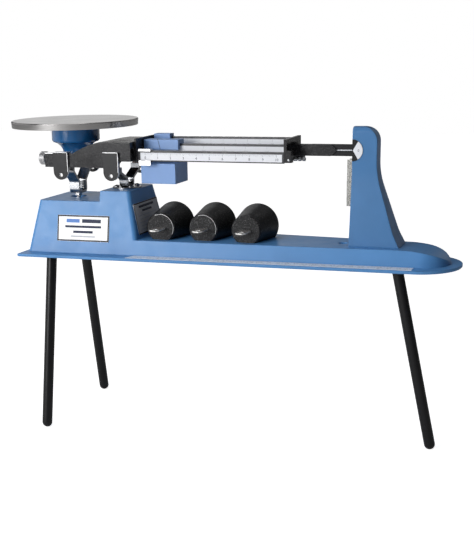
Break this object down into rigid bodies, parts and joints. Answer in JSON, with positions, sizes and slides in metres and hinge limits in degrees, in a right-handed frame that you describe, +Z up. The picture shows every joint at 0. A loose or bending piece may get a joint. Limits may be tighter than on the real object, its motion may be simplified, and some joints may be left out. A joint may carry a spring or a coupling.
{
  "type": "triple beam balance",
  "caption": "School balance: a round pan on one end of a three-beam lever with sliding poises, a pedestal base on three raised rods, a pointer column, and attachment weights lying on the deck.",
  "frame": {"origin": "centre of the footprint, on the bench surface, where the three rods stand", "axes": "+X along the beams from the pan towards the pointer column, +Y from the front with the scales towards the back, +Z up"},
  "size_m": [0.53, 0.1652, 0.3622],
  "materials": {
    "body_blue": "satin light blue paint on die-cast metal",
    "column_blue": "satin blue paint, slightly deeper than the base",
    "cup_blue": "deep blue gloss moulding",
    "poise_blue": "satin blue paint",
    "beam_black": "satin dark enamel",
    "casting_grey": "dark satin enamel on die-cast metal",
    "scale_white": "white scale enamel",
    "scale_black": "matt black",
    "label_plate": "etched foil plate",
    "steel": "ground steel",
    "chrome": "bright plated steel",
    "stainless": "spun stainless steel",
    "aluminium": "plain sheet aluminium",
    "leg_black": "black coated rod",
    "weight_grey": "dark enamel, bare at the rims",
    "agate": "polished bearing stone",
    "magnet": "sintered magnet"
  },
  "bodies": {
    "base": {"base_shell": "body_blue", "column_housing": "column_blue", "column_screws": "steel", "pointer_scale": "scale_black", "name_label": "label_plate", "data_label": "label_plate", "ruler_strip": "scale_white", "front_left_leg": "leg_black", "rear_left_leg": "leg_black", "right_leg": "leg_black", "stand_plate": "chrome", "fulcrum_stand": "chrome", "stand_screws": "chrome", "main_bearings": "agate", "damper_bracket": "aluminium", "damper_magnets": "magnet", "check_bracket": "aluminium", "check_pin": "steel"},
    "beam": {"beam_casting": "casting_grey", "main_knife_edges": "steel", "pan_knife_edges": "steel", "main_guards": "casting_grey", "pan_guards": "casting_grey", "zero_screw": "steel", "root_bracket": "beam_black", "front_beam": "beam_black", "middle_beam": "beam_black", "rear_beam": "beam_black", "front_scale": "scale_white", "middle_scale": "scale_white", "rear_scale": "scale_white", "end_bracket": "beam_black", "hanging_pin": "chrome", "pointer_foot": "beam_black", "pointer_arm": "beam_black", "pointer_blade": "scale_black", "pointer_rivets": "steel", "damping_vane": "aluminium"},
    "zero_knob": {"zero_knob": "chrome"},
    "front_rider": {"front_rider": "steel"},
    "middle_poise": {"middle_poise": "poise_blue"},
    "rear_poise": {"rear_poise": "poise_blue"},
    "pan_hanger": {"pan_crossbeam": "steel", "pan_stirrup": "chrome", "pan_bearings": "agate", "hanger_stem": "aluminium", "stem_nuts": "steel", "pan_cup": "cup_blue", "cup_screw": "steel", "stem_pin": "steel"},
    "pan": {"pan": "stainless"},
    "check_link": {"check_link": "steel"},
    "left_weight": {"left_weight": "weight_grey", "left_hook": "chrome"},
    "middle_weight": {"middle_weight": "weight_grey", "middle_hook": "chrome"},
    "right_weight": {"right_weight": "weight_grey", "right_hook": "chrome"}
  },
  "joints": [
    {"name": "beam_swing", "type": "hinge", "parent": "base", "child": "beam", "pos_m": [-0.125, 0, 0.314], "axis": [0, 1, 0], "range_deg": [-2.5, 2.5]},
    {"name": "pan_level", "type": "hinge", "parent": "beam", "child": "pan_hanger", "pos_m": [-0.19, 0, 0.314], "axis": [0, 1, 0], "range_deg": [-2.5, 2.5]},
    {"name": "check_swing", "type": "hinge", "parent": "base", "child": "check_link", "pos_m": [-0.125, 0, 0.245], "axis": [0, 1, 0], "range_deg": [-2.5, 2.5]},
    {"name": "zero_turn", "type": "slide", "parent": "beam", "child": "zero_knob", "axis": [1, 0, 0], "range_m": [-0.0015, 0.012]},
    {"name": "rider_slide", "type": "slide", "parent": "beam", "child": "front_rider", "axis": [1, 0, 0], "range_m": [0, 0.156]},
    {"name": "middle_slide", "type": "slide", "parent": "beam", "child": "middle_poise", "axis": [1, 0, 0], "range_m": [0, 0.125]},
    {"name": "rear_slide", "type": "slide", "parent": "beam", "child": "rear_poise", "axis": [1, 0, 0], "range_m": [0, 0.148]},
    {"name": "pan_lift", "type": "slide", "parent": "pan_hanger", "child": "pan", "axis": [0, 0, 1], "range_m": [0, 0.03]},
    {"name": "left_weight_lift", "type": "slide", "parent": "base", "child": "left_weight", "axis": [0, 0, 1], "range_m": [0, 0.012]},
    {"name": "middle_weight_lift", "type": "slide", "parent": "base", "child": "middle_weight", "axis": [0, 0, 1], "range_m": [0, 0.012]},
    {"name": "right_weight_lift", "type": "slide", "parent": "base", "child": "right_weight", "axis": [0, 0, 1], "range_m": [0, 0.012]}
  ],
  "couplings": [
    {"joint": "pan_level", "follows": "beam_swing", "ratio": -1},
    {"joint": "check_swing", "follows": "beam_swing", "ratio": 1}
  ]
}
